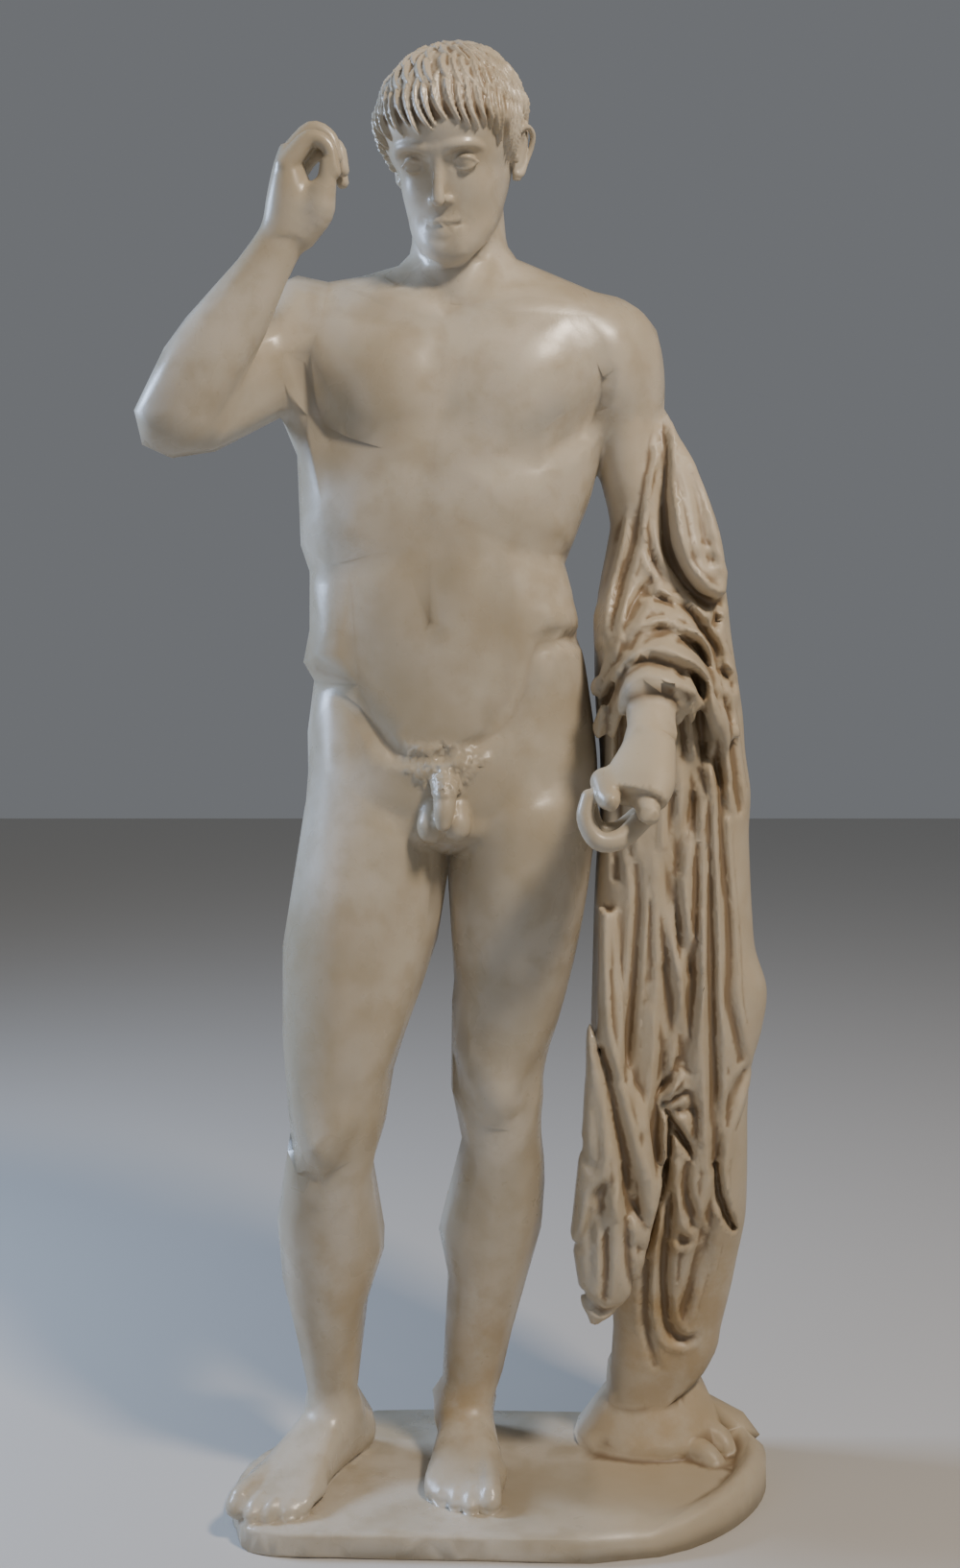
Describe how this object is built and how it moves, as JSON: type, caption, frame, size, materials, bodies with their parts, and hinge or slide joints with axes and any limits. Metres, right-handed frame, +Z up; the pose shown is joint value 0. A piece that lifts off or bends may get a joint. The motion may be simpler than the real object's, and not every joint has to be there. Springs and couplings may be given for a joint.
{
  "type": "statue",
  "caption": "Life-size marble statue of a standing nude youth, right hand raised, cloak over the left arm falling to a tortoise, on its own thin oval plinth.",
  "frame": {"origin": "middle of the flat underside of the statue's own plinth", "axes": "+Z up along the figure's height; the figure faces -Y; +X is the figure's left, the side of the cloak"},
  "size_m": [0.7531, 0.4154, 1.7651],
  "materials": {
    "marble": "polished with soft patina and brown stains"
  },
  "bodies": {
    "root": {"statue": "marble"}
  },
  "joints": []
}
